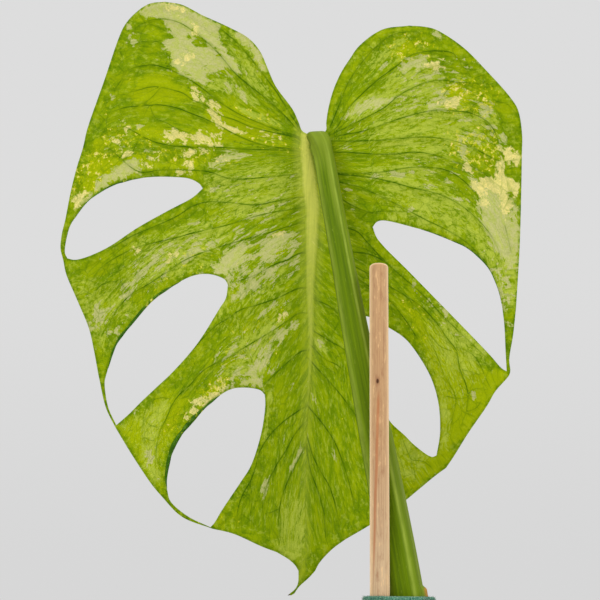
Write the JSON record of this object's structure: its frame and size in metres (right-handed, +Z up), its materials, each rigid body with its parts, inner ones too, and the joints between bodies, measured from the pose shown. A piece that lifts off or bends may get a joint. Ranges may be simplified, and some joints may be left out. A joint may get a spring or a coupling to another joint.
{
  "type": "potted white monster monstera",
  "caption": "Potted monstera plant: a large variegated split leaf on a channelled petiole, tied to a round wooden stake in a plain nursery pot.",
  "frame": {"origin": "middle of the pot's flat base, where it stands", "axes": "+Z up along the plant's height, +X to the right and +Y away from the front, from which the leaf's underside is seen"},
  "size_m": [0.2147, 0.133, 0.4329],
  "materials": {
    "pot_plastic": "anthracite moulded plastic, matte",
    "soil": "loose bark and peat mix with perlite",
    "stem": "green stem with pale brown node scars",
    "petiole": "dark green, pale ridges, semi-gloss",
    "leaf": "yellow-green with mint and cream variegation, satin",
    "stake_wood": "plain sanded dowel",
    "tie_fabric": "fuzzy hook-and-loop strap"
  },
  "bodies": {
    "root": {"pot": "pot_plastic", "soil": "soil", "stem": "stem", "petiole": "petiole", "leaf_blade": "leaf", "stake": "stake_wood", "tie": "tie_fabric"}
  },
  "joints": []
}
